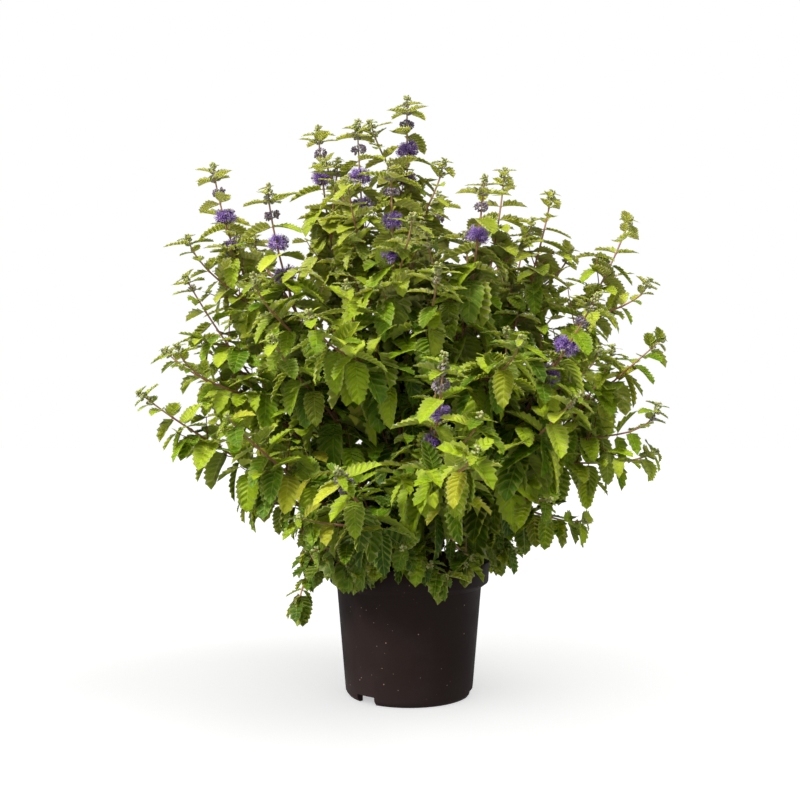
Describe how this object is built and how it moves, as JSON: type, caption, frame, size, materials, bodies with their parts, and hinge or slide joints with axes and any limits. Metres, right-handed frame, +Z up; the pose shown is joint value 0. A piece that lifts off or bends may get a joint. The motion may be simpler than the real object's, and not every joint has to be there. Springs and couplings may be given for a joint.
{
  "type": "potted bluebeard",
  "caption": "Bushy bluebeard shrub with toothed leaves and whorls of violet flowers, growing in a round dark plastic nursery pot.",
  "frame": {"origin": "on the floor under the middle of the pot", "axes": "+Z up, front of the plant toward -Y, +X to its right as seen from the front"},
  "size_m": [0.609, 0.549, 0.722],
  "materials": {
    "pot_plastic": "matt dark brown-black",
    "soil": "rough, crumbly potting soil",
    "foliage": "soft matt leaf",
    "blossom": "soft, fuzzy florets"
  },
  "bodies": {
    "root": {"pot": "pot_plastic", "soil": "soil", "shoot_01": "foliage", "shoot_02": "foliage", "shoot_03": "foliage", "shoot_04": "foliage", "shoot_05": "foliage", "shoot_06": "foliage", "shoot_07": "foliage", "shoot_08": "foliage", "shoot_09": "foliage", "shoot_10": "foliage", "shoot_11": "foliage", "shoot_12": "foliage", "shoot_13": "foliage", "shoot_14": "foliage", "shoot_15": "foliage", "shoot_16": "foliage", "shoot_17": "foliage", "shoot_18": "foliage", "shoot_19": "foliage", "shoot_20": "foliage", "shoot_21": "foliage", "shoot_22": "foliage", "shoot_23": "foliage", "shoot_24": "foliage", "shoot_25": "foliage", "shoot_26": "foliage", "shoot_27": "foliage", "bloom_01": "blossom", "bloom_02": "blossom", "bloom_03": "blossom", "bloom_04": "blossom", "bloom_05": "blossom", "bloom_06": "blossom", "bloom_07": "blossom", "bloom_08": "blossom", "bloom_09": "blossom", "bloom_10": "blossom", "bloom_11": "blossom", "bloom_12": "blossom", "bloom_13": "blossom", "bloom_14": "blossom", "bloom_15": "blossom", "bloom_16": "blossom", "bloom_17": "blossom", "bloom_18": "blossom", "bloom_19": "blossom", "bloom_20": "blossom", "bloom_21": "blossom", "bloom_22": "blossom", "bloom_23": "blossom", "bloom_24": "blossom", "bloom_25": "blossom", "bloom_26": "blossom", "bloom_27": "blossom", "bloom_28": "blossom", "bloom_29": "blossom", "bloom_30": "blossom", "bloom_31": "blossom"}
  },
  "joints": []
}
